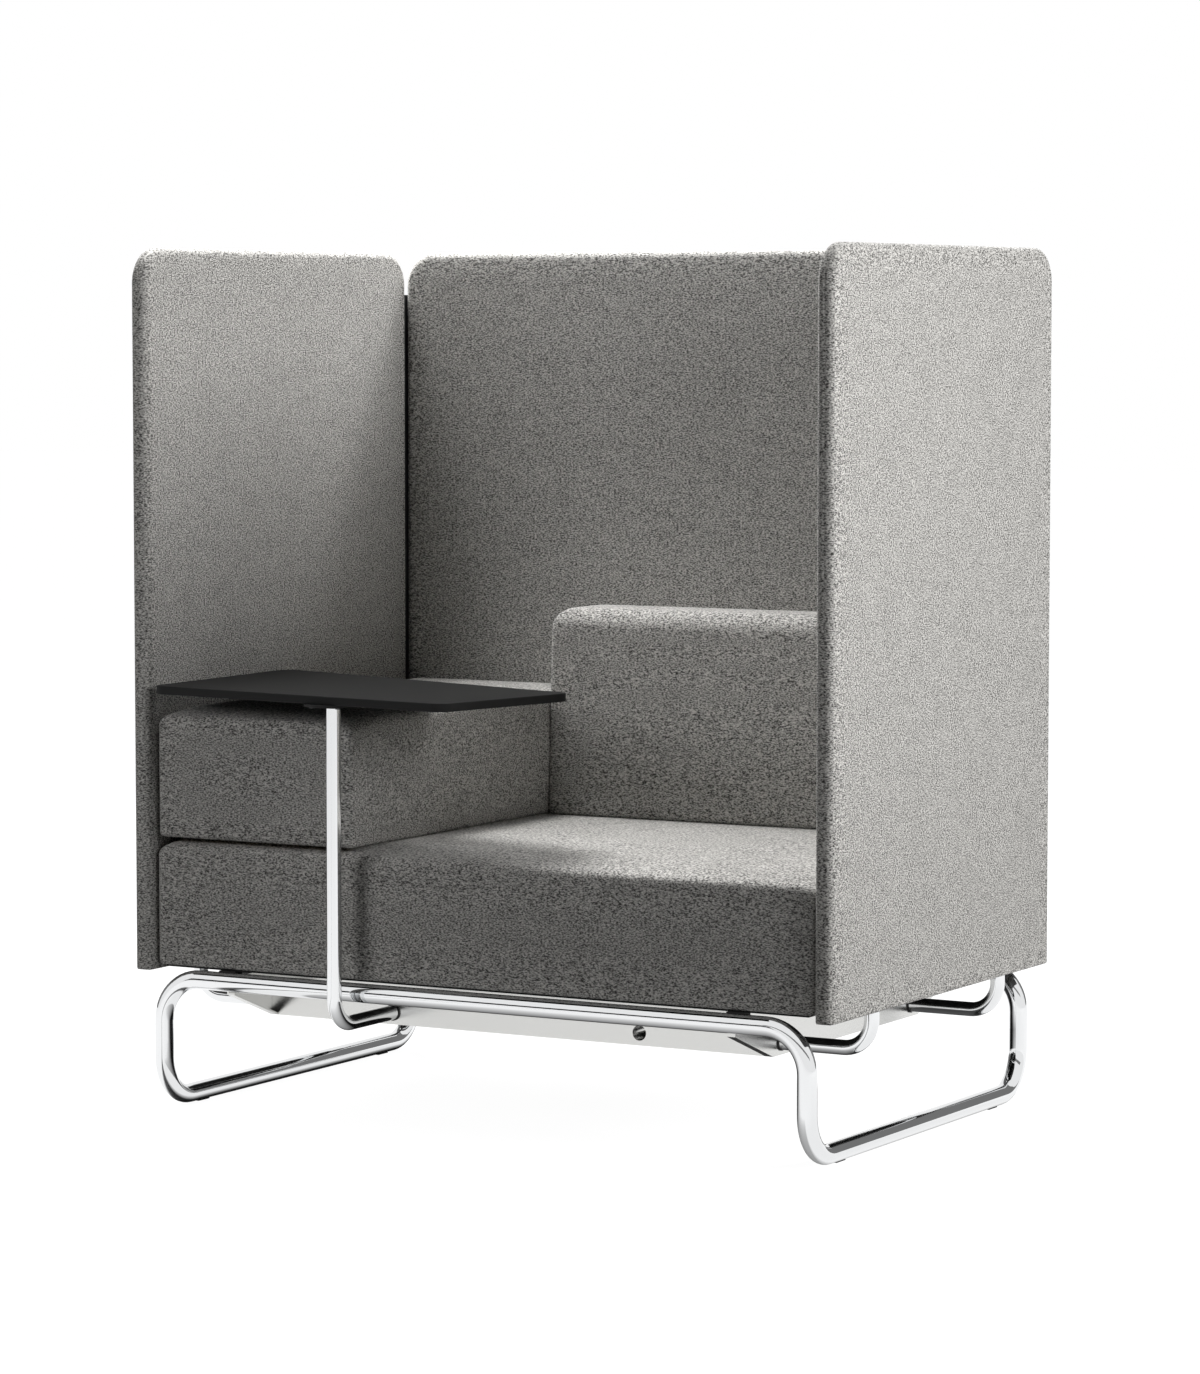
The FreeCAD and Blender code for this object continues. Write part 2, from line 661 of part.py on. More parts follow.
def soft_block(outline, low, depth):
    """A cushion's plain form: full edges on top, tighter upright ones, and a tight hem."""
    body = slab("XY", outline, low, depth, "Cushion")
    rounded(body, "cushion_edge", on_top)
    rounded(body, "cushion_corner", upright)
    rounded(body, "hem_edge", on_bottom)
    return body


def seat_bolt(place):
    """A bolt that comes up through a cross member's flange into the board."""
    head_low = "tray_top - sheet - bolt_head"
    head = rod("+z", (*place, head_low), "bolt_head", "bolt_head_dia / 2")
    shank = rod("+z", (*place, head_low), "seat_under + bolt_bite - tray_top + sheet + bolt_head",
                "bolt_dia / 2")
    return joined([head, shank], "SeatBolt")


def distance_washer(place):
    """The washer that keeps the board above the flange."""
    outside = rod("+z", (*place, "tray_top"), "washer", "washer_dia / 2")
    bore = rod("+z", (*place, "tray_top"), "washer", "bolt_dia / 2 + bolt_play")
    return cut(outside, [bore], "Washer")


def rail_pad(side_x, side_y):
    """A rubber saddle between a rail and the seat board."""
    mid = f"{side_x} * cross_x"
    rail = f"{side_y} * leg_y"
    inner = f"{side_y} * (leg_y - pad_depth)"
    y0, y1 = (rail, inner) if side_y == "-1" else (inner, rail)
    half = "pad_length / 2"
    blank = box(f"{mid} - {half}", f"{mid} + {half}", y0, y1, "seat_under - pad_drop", "seat_under")
    groove = rod("+x", (f"{mid} - pad_length", rail, "rail_z"), "2 * pad_length", "tube_r")
    web = box(f"{mid} - pad_length", f"{mid} + pad_length", "-leg_y", "leg_y", "tray_floor", "tray_top")
    return cut(blank, [groove, web], "RailPad")


def make_arm():
    """The arm cushion on the left, with the board in its underside."""
    inset = "board_inset"
    plan = rectangle("-(seat_half)", "arm_in", "-(arm_front)", "seat_rear")
    cushion = soft_block(plan, "upper_low", "arm_height")
    board_box = (f"-(seat_half) + {inset}", f"arm_in - {inset}",
                 f"-(arm_front) + {inset}", f"seat_rear - {inset}")
    node("arm_board", box(*board_box, "upper_low", "upper_low + board"))
    recess = box(*grown(board_box), "upper_low - board", "upper_low + board")
    node("arm_cushion", cut(cushion, [recess]))


def make_back():
    """The back cushion beside the arm, with the board in its rear face."""
    inset = "board_inset"
    low_x, high_x = "arm_in + cushion_gap", "seat_half"
    profile = [("back_front", "upper_low"), ("seat_rear", "upper_low"),
               ("seat_rear", "upper_low + back_height"), ("back_front + back_lean", "upper_low + back_height")]
    cushion = slab("YZ", profile, low_x, f"{high_x} - ({low_x})", "BackCushion")

    def before_rear(edge, whole):
        return edge.YMin < whole.YMax - TOUCH

    rounded(cushion, "back_edge", lambda edge, whole: on_top(edge, whole) and before_rear(edge, whole))
    rounded(cushion, "back_corner", lambda edge, whole: upright(edge, whole) and before_rear(edge, whole))
    plan = (f"{low_x} + {inset}", f"{high_x} - {inset}")
    rise = (f"upper_low + {inset}", "upper_low + back_height - back_edge")
    node("back_board", box(*plan, "seat_rear - board", "seat_rear", *rise))
    play = "board_play"
    recess = box(f"{plan[0]} - {play}", f"{plan[1]} + {play}", "seat_rear - board", "seat_rear + board",
                 f"{rise[0]} - {play}", f"{rise[1]} + {play}")
    node("back_cushion", cut(cushion, [recess]))


def make_post():
    """The tablet's post, bent back under the front rail into its block, and the bush in its top."""
    face = "-beam_y + sheet"
    start = ("-post_x", f"{face} + stem_grip", "stem_z")
    moves = [("-y", "post_y - beam_y + sheet + stem_grip"), ("+z", "post_top - stem_z")]
    node("tablet_post", bent_tube(start, moves, "stem_r", "stem_wall", "stem_bend"))
    blocks, grubs = [], []
    for side in ("-1", "1"):
        block, grub = stem_block("+y", (f"{side} * post_x", face))
        blocks.append(block)
        grubs.append(grub)
    node("left_post_block", blocks[0])
    node("right_post_block", blocks[1])
    node("post_grub_screw", grubs[0])
    node("post_ring", stem_ring("-y", ("-post_x", "-beam_y")))
    axis = ("-post_x", "-post_y")
    liner = rod("+z", (*axis, "post_top - bush_length"), "bush_length", "bush_r")
    flange = rod("+z", (*axis, "post_top"), "bush_flange", "stem_r")
    bore = rod("+z", (*axis, "post_top - bush_length"), "bush_length + bush_flange",
               "spigot_r + swivel_clear")
    node("post_bush", cut(joined([liner, flange]), [bore]))


def make_tablet():
    """The tablet on its mounting plate and spigot, which turn together on the post."""
    axis = ("-post_x", "-post_y")
    spigot = rod("+z", (*axis, "plate_low - spigot_length"), "spigot_length + plate", "spigot_r")
    node("swivel_spigot", spigot)
    disc = rod("+z", (*axis, "plate_low"), "plate", "plate_dia / 2")
    eye = rod("+z", (*axis, "plate_low"), "plate", "spigot_r + spigot_seat")
    screws, plate_holes, tablet_holes = [], [], []
    for side_x in ("-1", "1"):
        for side_y in ("-1", "1"):
            arm = "screw_circle / 2 * sqrt(0.5)"
            place = (f"-post_x + {side_x} * {arm}", f"-post_y + {side_y} * {arm}")
            head = rod("+z", (*place, "plate_low - screw_head"), "screw_head", "screw_head_dia / 2")
            shank = rod("+z", (*place, "plate_low - screw_head"), "screw_head + plate + screw_bite",
                        "screw_dia / 2")
            screws.append(joined([head, shank], "TabletScrew"))
            radius = "screw_dia / 2 + screw_play"
            plate_holes.append(rod("+z", (*place, "plate_low"), "plate", radius))
            tablet_holes.append(rod("+z", (*place, "tablet_low"), "screw_bite", radius))
    node("tablet_plate", cut(disc, [eye] + plate_holes))
    node("tablet_screws", grouped(screws))
    node("tablet_top", cut(tablet_board(), tablet_holes))


def tablet_board():
    """The four-sided board, drawn square about the post axis and then turned."""
    body = doc.addObject("PartDesign::Body", "TabletBoard")
    sketch = body.newObject("Sketcher::SketchObject", "Outline")
    ground = [feature for feature in body.Origin.OriginFeatures if feature.Role == "XY_Plane"][0]
    sketch.AttachmentSupport = [(ground, "")]
    sketch.MapMode = "FlatFace"
    draw_outline(sketch, [("-tablet_front_left", "-tablet_front"), ("tablet_front_right", "-tablet_front"),
                          ("tablet_rear_right", "tablet_right_depth"),
                          ("-tablet_rear_left", "tablet_left_depth")])
    pad = body.newObject("PartDesign::Pad", "Pad")
    pad.Profile = sketch
    bind(pad, Length="tablet")
    doc.recompute()
    rounded(body, "tablet_corner", upright)
    rounded(body, "tablet_edge", lambda edge, whole: on_top(edge, whole) or on_bottom(edge, whole))
    put(body, "-post_x", "-post_y", "tablet_low", FreeCAD.Rotation(Z_AXIS, 1))
    body.setExpression("Placement.Rotation.Angle", formula("-tablet_turn"))
    return body


def write_parts():
    """Test every object, then write each sub-part to its own file."""
    doc.recompute()
    for obj in doc.Objects:
        if "Invalid" in obj.State or "Error" in obj.State:
            raise RuntimeError(f"{obj.Label} failed: {obj.State}")
    for obj in nodes:
        if obj.Shape.isNull() or not obj.Shape.isValid() or not obj.Shape.Solids:
            raise RuntimeError(f"{obj.Label} has no valid solid")
    os.makedirs("parts", exist_ok=True)
    for obj in nodes:
        obj.Shape.exportStep(f"parts/{obj.Label}.step")


make_frame()
make_tray()
make_screen_stems()
make_screens()
make_corner_profiles()
make_seat()
make_arm()
make_back()
make_post()
make_tablet()
write_parts()
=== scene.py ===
import json
import math

import bmesh
import bpy
from mathutils import Matrix, Vector


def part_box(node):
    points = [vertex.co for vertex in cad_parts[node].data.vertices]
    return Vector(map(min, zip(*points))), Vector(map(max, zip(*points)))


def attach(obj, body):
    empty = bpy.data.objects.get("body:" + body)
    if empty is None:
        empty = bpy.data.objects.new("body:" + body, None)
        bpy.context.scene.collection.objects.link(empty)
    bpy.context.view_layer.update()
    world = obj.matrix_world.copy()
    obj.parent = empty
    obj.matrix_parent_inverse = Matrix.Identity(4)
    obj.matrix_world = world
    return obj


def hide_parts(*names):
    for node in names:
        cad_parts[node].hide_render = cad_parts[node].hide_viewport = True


bl_info = {
    "name": "Screened Lounge Seat",
    "version": (1, 0, 0),
    "blender": (4, 5, 0),
    "location": "View3D > Sidebar > Lounge Seat",
    "description": "Upholstery, chrome and finishes of a screened lounge seat with a swivelling tablet",
    "category": "Object",
}

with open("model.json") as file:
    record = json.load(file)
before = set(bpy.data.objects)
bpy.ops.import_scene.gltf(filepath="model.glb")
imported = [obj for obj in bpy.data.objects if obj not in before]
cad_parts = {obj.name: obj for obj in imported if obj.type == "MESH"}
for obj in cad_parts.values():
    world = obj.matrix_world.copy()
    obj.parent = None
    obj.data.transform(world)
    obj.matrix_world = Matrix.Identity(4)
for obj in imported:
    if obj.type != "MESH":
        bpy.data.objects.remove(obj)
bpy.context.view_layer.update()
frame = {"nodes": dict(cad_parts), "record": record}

# The photograph's height, in pixels, and the camera that was fitted to its straight edges
PICTURE_HEIGHT = 1374
CAMERA_FOCUS = 4701.2
CAMERA_PLACE = (3.6371, -6.4218, 1.2402)
CAMERA_AZIMUTH = 29.337
CAMERA_PITCH = 4.440
SENSOR = 36.0

UP = Vector((0, 0, 1))
SIDES = (-1, 1)
WHITE = (1, 1, 1, 1)
# Two places nearer than this are the same, in metres
SAME = 1e-5


def linear(code):
    """An sRGB hex colour as the linear colour that a shader takes."""
    parts = [int(code[place:place + 2], 16) / 255 for place in (1, 3, 5)]
    return tuple(c / 12.92 if c <= 0.04045 else ((c + 0.055) / 1.055) ** 2.4 for c in parts) + (1.0,)


def length(name, description, millimetres):
    """A property that holds a length, given in millimetres."""
    return bpy.props.FloatProperty(name=name, description=description, default=millimetres / 1000,
                                   unit="LENGTH", subtype="DISTANCE", precision=5)


def colour(name, description, code):
    """A property that holds a colour, given as sRGB hex."""
    return bpy.props.FloatVectorProperty(name=name, description=description, default=linear(code),
                                         size=4, min=0, max=1, subtype="COLOR")


class SeatSizes(bpy.types.PropertyGroup):
    """Sizes of the soft parts and the bent tubes."""

    screen_corner: length("Screen corner", "Radius of a screen's top corners", 55)
    screen_edge: length("Screen edge", "Radius of the soft edge round a screen", 12)
    screen_hem: length("Screen hem", "Radius of a screen's lower edge", 3)
    screen_wall: length("Screen wall", "Felt and padding beside the closing strip", 3.9)
    screen_crown: length("Screen crown", "How far a screen's face swells in its middle", 1.2)
    seam_width: length("Seam width", "Width of the groove along a screen's seam", 1.6)
    seam_depth: length("Seam depth", "Depth of the groove along a screen's seam", 0.6)
    cushion_seam: length("Cushion seam", "Depth of the groove along a cushion's upright seams", 1.3)
    cushion_edge: length("Cushion edge", "Radius of a cushion's top edges", 12)
    end_droop: length("End droop", "How far a cushion's top falls at its ends", 8)
    end_reach: length("End reach", "How far from its ends a cushion's top falls", 36)
    front_droop: length("Front droop", "How far a cushion's top falls to its front", 11)
    front_reach: length("Front reach", "How far from its front a cushion's top falls", 110)
    cushion_corner: length("Cushion corner", "Radius of a cushion's upright edges", 10)
    cushion_hem: length("Cushion hem", "Radius of a cushion's lower edges", 9)
    back_edge: length("Back edge", "Radius of the back cushion's top edges", 36)
    back_corner: length("Back corner", "Radius of the back cushion's upright edges", 12)
    back_lean: length("Back lean", "How far the back cushion's front leans at its top", 12)
    seat_swell: length("Seat swell", "Crown of the seat cushion", 6)
    arm_swell: length("Arm swell", "Crown of the arm cushion", 5)
    back_swell: length("Back swell", "Crown of the back cushion", 6)
    cushion_grid: length("Cushion grid", "Spacing of the cushion meshes", 28)
    frame_bend: length("Frame bend", "Bend of the frame tubes, on the centre line", 68)
    stem_bend: length("Stem bend", "Bend of the stems and the post, on the centre line", 45)


class SeatColours(bpy.types.PropertyGroup):
    """Colours of the finishes."""

    felt_dark: colour("Felt, dark fibres", "Dark wool in the grey felt", "#434240")
    felt_light: colour("Felt, light fibres", "Light wool in the grey felt", "#D8D6D2")
    chrome: colour("Chrome", "Bright chrome plate", "#E4E5E6")
    sheet: colour("Tray sheet", "Satin silver sheet", "#D2D2D0")
    steel: colour("Steel", "Black-oxide blocks and fixings", "#4A4A4C")
    laminate: colour("Laminate", "Black laminate of the tablet", "#1F1F1F")
    plastic: colour("Plastic", "Black moulded plastic", "#161616")
    rubber: colour("Rubber", "Black rubber saddles", "#141414")
    board: colour("Board", "Birch plywood", "#CDB48C")
    floor: colour("Floor", "Studio floor", "#5A5A5A")


def sizes():
    return bpy.context.scene.seat_sizes


def colours():
    return bpy.context.scene.seat_colours


# Selecting and editing

def activate(piece):
    """Select one object alone and make it active."""
    bpy.ops.object.select_all(action="DESELECT")
    piece.select_set(True)
    bpy.context.view_layer.objects.active = piece


def settle(name):
    """Name the new primitive and put its place into its mesh."""
    piece = bpy.context.object
    piece.name = name
    piece.data.name = name
    bpy.ops.object.transform_apply(location=True, rotation=True, scale=True)
    return piece


def add_block(name, low, high):
    """A block between two corners."""
    bpy.ops.object.select_all(action="DESELECT")
    bpy.ops.mesh.primitive_cube_add(size=1, location=(low + high) / 2)
    bpy.context.object.scale = high - low
    return settle(name)


def edit(piece):
    activate(piece)
    bpy.ops.object.mode_set(mode="EDIT")


def leave():
    bpy.ops.object.mode_set(mode="OBJECT")


def pick(kind, choose):
    """In edit mode, select the vertices, edges or faces that a test picks, and no others."""
    mesh = bpy.context.object.data
    bpy.ops.mesh.select_mode(type={"verts": "VERT", "edges": "EDGE", "faces": "FACE"}[kind])
    bpy.ops.mesh.select_all(action="DESELECT")
    shape = bmesh.from_edit_mesh(mesh)
    for part in getattr(shape, kind):
        if choose(part):
            part.select_set(True)
    shape.select_flush_mode()
    bmesh.update_edit_mesh(mesh)


def slice_across(axis, places):
    """In edit mode, cut the whole mesh across an axis at each place."""
    normal = Vector((0, 0, 0))
    normal[axis] = 1
    for place in places:
        bpy.ops.mesh.select_all(action="SELECT")
        bpy.ops.mesh.bisect(plane_co=normal * place, plane_no=normal)


def finish_mesh(piece, angle=None):
    """Merge doubles, point the faces outwards and shade them."""
    edit(piece)
    bpy.ops.mesh.select_all(action="SELECT")
    bpy.ops.mesh.remove_doubles(threshold=SAME / 10)
    bpy.ops.mesh.normals_make_consistent(inside=False)
    leave()
    if angle is None:
        bpy.ops.object.shade_smooth()
    else:
        bpy.ops.object.shade_smooth_by_angle(angle=math.radians(angle))


def dress(piece, material, slot, *nodes, body="base"):
    """Give a finished piece its finish, its body and the nodes that it stands for."""
    piece.data.materials.clear()
    piece.data.materials.append(material)
    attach(piece, body)
    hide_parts(*nodes)


# Finishes

def add_node(tree, kind, inputs=None, **settings):
    """Add a node with its settings, and its inputs set to values or linked to other sockets."""
    node = tree.nodes.new(kind)
    for name, value in settings.items():
        setattr(node, name, value)
    for socket, value in (inputs or {}).items():
        if isinstance(value, bpy.types.NodeSocket):
            tree.links.new(value, node.inputs[socket])
        else:
            node.inputs[socket].default_value = value
    return node


def bare_tree(holder):
    """The emptied node tree of a material or a world."""
    holder.use_nodes = True
    holder.node_tree.nodes.clear()
    return holder.node_tree


def new_material(name):
    """A bare material with its shader, and the tree that holds it."""
    material = bpy.data.materials.get(name) or bpy.data.materials.new(name)
    tree = bare_tree(material)
    shader = add_node(tree, "ShaderNodeBsdfPrincipled")
    add_node(tree, "ShaderNodeOutputMaterial", {"Surface": shader.outputs["BSDF"]})
    return material, tree, shader


# A real wool fibre is 0.03 mm thick and can't show, so the heather is drawn in flecks. The fibres lie mostly
# level, so a fleck is about 3.7 mm wide and 1.7 mm high.
FLECK = 0.0026
FLECK_LIE = (0.7, 0.7, 1.5)
FLECK_RAMP = (0.36, 0.64)
NAP_DEPTH = 0.0010
# Paler and darker clouds in the wool
CLOUD = 0.030
CLOUD_SHARE = 0.05

CHROME_HAZE = 0.020
CHROME_ROUGH = (0.03, 0.07)

# A coated surface's gloss varies by this much either way, and its grain stands out by this share.
GLOSS_SPREAD = 0.06
SKIN_STRENGTH = 0.3


def grey_felt():
    """Milled wool felt, spun from light and dark fibres: a fine heather with a soft nap at the edges."""
    material, tree, shader = new_material("grey_wool_felt")
    tones = colours()
    place = add_node(tree, "ShaderNodeTexCoord").outputs["Object"]
    lie = add_node(tree, "ShaderNodeMapping", {"Vector": place, "Scale": FLECK_LIE}).outputs["Vector"]
    flecks = add_node(tree, "ShaderNodeTexNoise",
                      {"Vector": lie, "Scale": 1 / FLECK, "Detail": 2.0, "Roughness": 0.6})
    clouds = add_node(tree, "ShaderNodeTexNoise",
                      {"Vector": lie, "Scale": 1 / CLOUD, "Detail": 2.0, "Roughness": 0.5})
    drift = add_node(tree, "ShaderNodeMath", {0: clouds.outputs["Fac"], 1: CLOUD_SHARE, 2: -CLOUD_SHARE / 2},
                     operation="MULTIPLY_ADD")
    blend = add_node(tree, "ShaderNodeMath", {0: flecks.outputs["Fac"], 1: drift.outputs["Value"]})
    ramp = add_node(tree, "ShaderNodeMapRange", {"Value": blend.outputs["Value"], "From Min": FLECK_RAMP[0],
                                                 "From Max": FLECK_RAMP[1]})
    mix = add_node(tree, "ShaderNodeMix", {0: ramp.outputs["Result"], 6: tones.felt_dark,
                                           7: tones.felt_light}, data_type="RGBA")
    tree.links.new(mix.outputs[2], shader.inputs["Base Color"])
    nap = add_node(tree, "ShaderNodeBump",
                   {"Height": flecks.outputs["Fac"], "Strength": 1.0, "Distance": NAP_DEPTH})
    tree.links.new(nap.outputs["Normal"], shader.inputs["Normal"])
    shader.inputs["Roughness"].default_value = 0.95
    shader.inputs["Specular IOR Level"].default_value = 0.15
    shader.inputs["Sheen Weight"].default_value = 0.25
    shader.inputs["Sheen Roughness"].default_value = 0.4
    return material


def bright_chrome():
    """Chrome plate on polished tube: a mirror with the faint haze that polishing leaves."""
    material, tree, shader = new_material("polished_chrome_plate")
    place = add_node(tree, "ShaderNodeTexCoord").outputs["Object"]
    haze = add_node(tree, "ShaderNodeTexNoise",
                    {"Vector": place, "Scale": 1 / CHROME_HAZE, "Detail": 4.0, "Roughness": 0.6})
    rough = add_node(tree, "ShaderNodeMapRange", {"Value": haze.outputs["Fac"], "To Min": CHROME_ROUGH[0],
                                                  "To Max": CHROME_ROUGH[1]})
    tree.links.new(rough.outputs["Result"], shader.inputs["Roughness"])
    shader.inputs["Base Color"].default_value = colours().chrome
    shader.inputs["Metallic"].default_value = 1.0
    return material


def coated(name, tone, grain, depth, rough, metallic=0.0, specular=0.5):
    """A coated or moulded surface: an even colour with a fine grain in its gloss and its skin."""
    material, tree, shader = new_material(name)
    place = add_node(tree, "ShaderNodeTexCoord").outputs["Object"]
    skin = add_node(tree, "ShaderNodeTexNoise",
                    {"Vector": place, "Scale": 1 / grain, "Detail": 2.0, "Roughness": 0.5})
    gloss = add_node(tree, "ShaderNodeMapRange",
                     {"Value": skin.outputs["Fac"], "To Min": rough - GLOSS_SPREAD,
                      "To Max": rough + GLOSS_SPREAD})
    tree.links.new(gloss.outputs["Result"], shader.inputs["Roughness"])
    bump = add_node(tree, "ShaderNodeBump",
                    {"Height": skin.outputs["Fac"], "Strength": SKIN_STRENGTH, "Distance": depth})
    tree.links.new(bump.outputs["Normal"], shader.inputs["Normal"])
    shader.inputs["Base Color"].default_value = tone
    shader.inputs["Metallic"].default_value = metallic
    shader.inputs["Specular IOR Level"].default_value = specular
    return material


def finishes():
    """Every rigid finish by the record's slot, with its grain and the depth of the grain in metres."""
    tones = colours()
    return {
        "silver_sheet": coated("satin_silver_sheet", tones.sheet, grain=0.0015, depth=0.00003, rough=0.24,
                               metallic=1.0),
        "plain_steel": coated("black_oxide_steel", tones.steel, grain=0.002, depth=0.00005, rough=0.35,
                              metallic=1.0),
        "black_plastic": coated("moulded_black_plastic", tones.plastic, grain=0.0008, depth=0.00008,
                                rough=0.5),
        "black_rubber": coated("black_rubber", tones.rubber, grain=0.0006, depth=0.0001, rough=0.7,
                               specular=0.3),
        "black_board": coated("black_stained_board", tones.plastic, grain=0.003, depth=0.0001, rough=0.75,
                              specular=0.2),
        "birch_board": coated("birch_plywood", tones.board, grain=0.004, depth=0.0001, rough=0.6),
        "black_steel": coated("black_coated_steel", tones.plastic, grain=0.0012, depth=0.0001, rough=0.6,
                              specular=0.2),
        "black_laminate": coated("black_laminate", tones.laminate, grain=0.0012, depth=0.00006, rough=0.62,
                                 specular=0.12),
    }


# Screens

CORNER_STEPS = 14
EDGE_STEPS = 5
HEM_STEPS = 3
# A face as large as this, in square metres, is one of a screen's broad faces.
BROAD = 0.1
# The steps of a screen's crown from its edge inwards: how wide, and which share of the swell
CROWN_STEPS = ((0.012, 0.4), (0.024, 0.6))
# How far the closing strip lies inside the foot, and the least width of the foot's rim
FOOT_DEPTH = 0.006
LEAST_RIM = 1e-4
# Edges that are sharper than this, in degrees, stay sharp.
SCREEN_CREASE = 40


def make_screen(name, node, across):
    """A padded panel: two felt faces, sewn together along the middle of the rim, and an open foot."""
    size = sizes()
    low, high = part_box(node)
    along = 1 - across
    panel = add_block(name, low, high)
    middle = (low[across] + high[across]) / 2
    edit(panel)
    pick("edges", lambda edge: all(vert.co.z > high.z - SAME for vert in edge.verts)
         and abs(edge.verts[0].co[across] - edge.verts[1].co[across]) > SAME)
    bpy.ops.mesh.bevel(offset=size.screen_corner, segments=CORNER_STEPS, affect="EDGES", clamp_overlap=False)
    pick("edges", lambda edge: rim_edge(edge, across, low, high)
         and max(vert.co.z for vert in edge.verts) > low.z + SAME)
    bpy.ops.mesh.bevel(offset=size.screen_edge, segments=EDGE_STEPS, affect="EDGES", clamp_overlap=False)
    slice_across(across, [middle - size.seam_width / 2, middle, middle + size.seam_width / 2])
    pick("verts", lambda vert: abs(vert.co[across] - middle) < SAME
         and vert.co.z > low.z + size.screen_hem)
    bpy.ops.transform.shrink_fatten(value=-size.seam_depth)
    for side in SIDES:
        pick("faces", lambda face: face.normal[across] * side > 0.999 and face.calc_area() > BROAD)
        for width, share in CROWN_STEPS:
            bpy.ops.mesh.inset(thickness=width, depth=size.screen_crown * share)
    pick("edges", lambda edge: all(vert.co.z < low.z + SAME for vert in edge.verts)
         and len(edge.link_faces) == 2 and any(abs(face.normal.z) < 0.5 for face in edge.link_faces))
    bpy.ops.mesh.bevel(offset=size.screen_hem, segments=HEM_STEPS, affect="EDGES", clamp_overlap=False)
    pick("faces", lambda face: face.normal.z < -0.999 and face.calc_center_median().z < low.z + SAME)
    bpy.ops.mesh.inset(thickness=max(size.screen_wall - size.screen_hem, LEAST_RIM))
    bpy.ops.mesh.extrude_region_move(TRANSFORM_OT_translate={"value": UP * FOOT_DEPTH})
    leave()
    finish_mesh(panel, SCREEN_CREASE)
    return panel


def rim_edge(edge, across, low, high):
    """An edge between a screen's broad face and its narrow side."""
    places = [vert.co[across] for vert in edge.verts]
    level = low[across] if abs(places[0] - low[across]) < SAME else high[across]
    if max(abs(place - level) for place in places) > SAME:
        return False
    return sum(abs(face.normal[across]) > 0.9 for face in edge.link_faces) == 1


class SEAT_OT_screens(bpy.types.Operator):
    """Upholster the three screens in felt"""

    bl_idname = "seat.screens"
    bl_label = "Screens"

    def execute(self, context):
        felt = grey_felt()
        for side, across in (("left", 0), ("right", 0), ("back", 1)):
            panel = make_screen(f"{side}_screen_padding", f"{side}_screen_cover", across)
            dress(panel, felt, "grey_felt", f"{side}_screen_cover")
        return {"FINISHED"}


# Cushions

# Where a cushion's mesh is cut near its ends, in metres from the end
END_CUTS = (0.0008, 0.0024, 0.005, 0.008, 0.012, 0.017, 0.022, 0.029, 0.036)
PLUMP_STEPS = 20
PLUMP_PRESSURE = 4


def cut_places(low, high, spacing):
    """Where a cushion's mesh is cut along one axis: close together at the ends, even between them."""
    ends = [low + cut for cut in END_CUTS] + [high - cut for cut in END_CUTS]
    first, last = low + END_CUTS[-1], high - END_CUTS[-1]
    count = max(1, round((last - first) / spacing))
    return ends + [first + (last - first) * step / count for step in range(1, count)]


def to_circle(first, second):
    """The share that brings a point of a square's ring onto the circle inside it."""
    span = math.hypot(first, second)
    return max(abs(first), abs(second)) / span if span > 1e-12 else 1.0


def round_corner(x, y, half_x, half_y, radius, groove):
    """Move a point of a block's plan onto the plan with rounded corners, with a groove at each seam."""
    over_x = abs(x) - (half_x - radius)
    over_y = abs(y) - (half_y - radius)
    if over_x <= 0 or over_y <= 0:
        return x, y
    share = to_circle(over_x, over_y)
    if abs(over_x - over_y) < 1e-6 and over_x > radius - 1e-6:
        share -= groove / radius
    return (math.copysign(half_x - radius + over_x * share, x),
            math.copysign(half_y - radius + over_y * share, y))


def reach(over_x, over_y, radius, corner):
    """How far a rounded plan's outline lies from the inner corner, in a direction."""
    span = math.hypot(over_x, over_y)
    dir_x, dir_y = over_x / span, over_y / span
    shift = radius - corner
    along = shift * (dir_x + dir_y)
    inside = along * along - 2 * shift * shift + corner * corner
    if inside > 0:
        out = along + math.sqrt(inside)
        if min(out * dir_x, out * dir_y) >= shift:
            return out
    return radius / max(dir_x, dir_y)


def round_over(x, y, depth, half_x, half_y, radius, corner):
    """Roll a cushion's edge over: depth is counted from where the rounding starts."""
    over_x = max(abs(x) - (half_x - radius), 0)
    over_y = max(abs(y) - (half_y - radius), 0)
    if depth <= 0 or over_x + over_y < 1e-9:
        return x, y, depth
    out = reach(over_x, over_y, radius, min(corner, radius))
    share = to_circle(math.hypot(over_x, over_y) / out, depth / radius)
    return (math.copysign(abs(x) - over_x + over_x * share, x),
            math.copysign(abs(y) - over_y + over_y * share, y), depth * share)


def soft_block(name, low, high, corner, edge, droops):
    """A cushion's form: upright seams at its corners, drooping top edges and a tight hem."""
    size = sizes()
    block = add_block(name, low, high)
    edit(block)
    for axis in range(3):
        slice_across(axis, cut_places(low[axis], high[axis], size.cushion_grid))
    leave()
    centre, half = (low + high) / 2, (high - low) / 2
    for vert in block.data.vertices:
        x, y, z = vert.co - centre
        x, y = round_corner(x, y, half.x, half.y, corner, size.cushion_seam)
        x, y, top = round_over(x, y, z - (half.z - edge), half.x, half.y, edge, corner)
        z = top + half.z - edge
        x, y, foot = round_over(x, y, -z - (half.z - size.cushion_hem), half.x, half.y,
                                size.cushion_hem, corner)
        z = -foot - (half.z - size.cushion_hem)
        if droops:
            fall = size.end_droop * max(1 - (half.x - abs(x)) / size.end_reach, 0) ** 2
            fall += size.front_droop * max(1 - (half.y + y) / size.front_reach, 0) ** 2
            z -= fall * max(z / half.z, 0)
        vert.co = centre + Vector((x, y, z))
    return block


